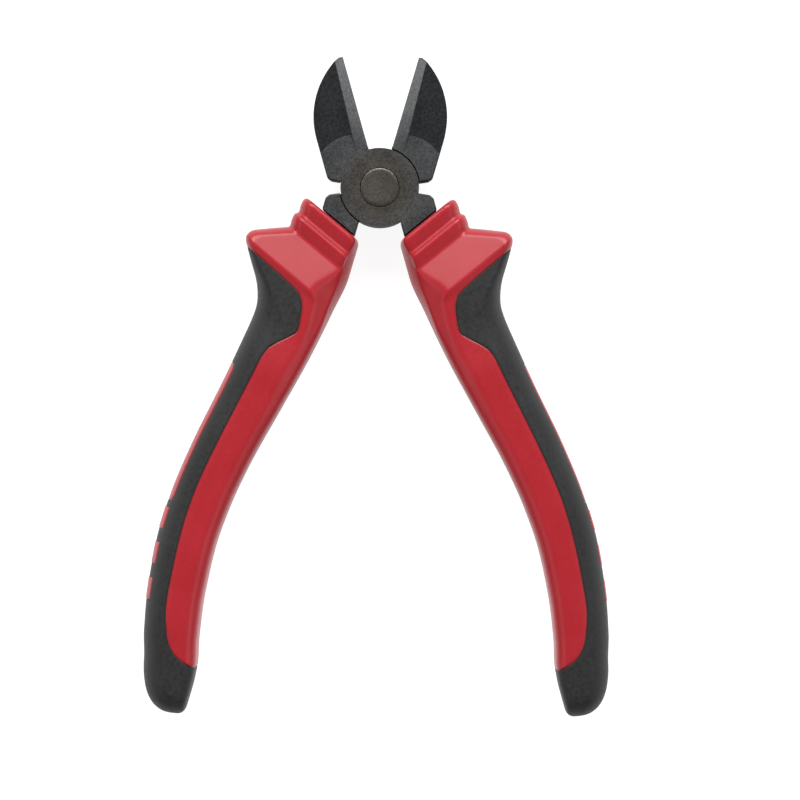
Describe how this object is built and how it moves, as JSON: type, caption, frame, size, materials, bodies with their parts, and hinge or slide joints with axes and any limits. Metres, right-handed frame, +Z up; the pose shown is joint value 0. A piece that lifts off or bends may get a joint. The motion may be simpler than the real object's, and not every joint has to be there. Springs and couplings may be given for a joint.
{
  "type": "side cutters",
  "caption": "Riveted side cutters for wire, with curved jaws lapped on a round joint and two-material moulded grips with collars, ribs and thumb guards.",
  "frame": {"origin": "on the surface the tool lies on, under the middle of its bounding box", "axes": "+Y from the grips towards the jaws, +X to the right, +Z up through the joint along the rivet"},
  "size_m": [0.1068, 0.151, 0.018],
  "materials": {
    "forged_steel": "dark satin forged steel with lighter ground edges",
    "rivet_steel": "dark turned steel, ground flush",
    "red_plastic": "moulded, half gloss",
    "black_soft_grip": "fine grained, matt"
  },
  "bodies": {
    "front_half": {"front_lever": "forged_steel", "pivot_rivet": "rivet_steel", "right_grip_core": "red_plastic", "right_grip_sleeve": "black_soft_grip"},
    "rear_half": {"rear_lever": "forged_steel", "left_grip_core": "red_plastic", "left_grip_sleeve": "black_soft_grip"}
  },
  "joints": [
    {"name": "pivot", "type": "hinge", "parent": "front_half", "child": "rear_half", "pos_m": [0, 0.04537, 0.009], "axis": [0, 0, 1], "range_deg": [-16, 32]}
  ]
}
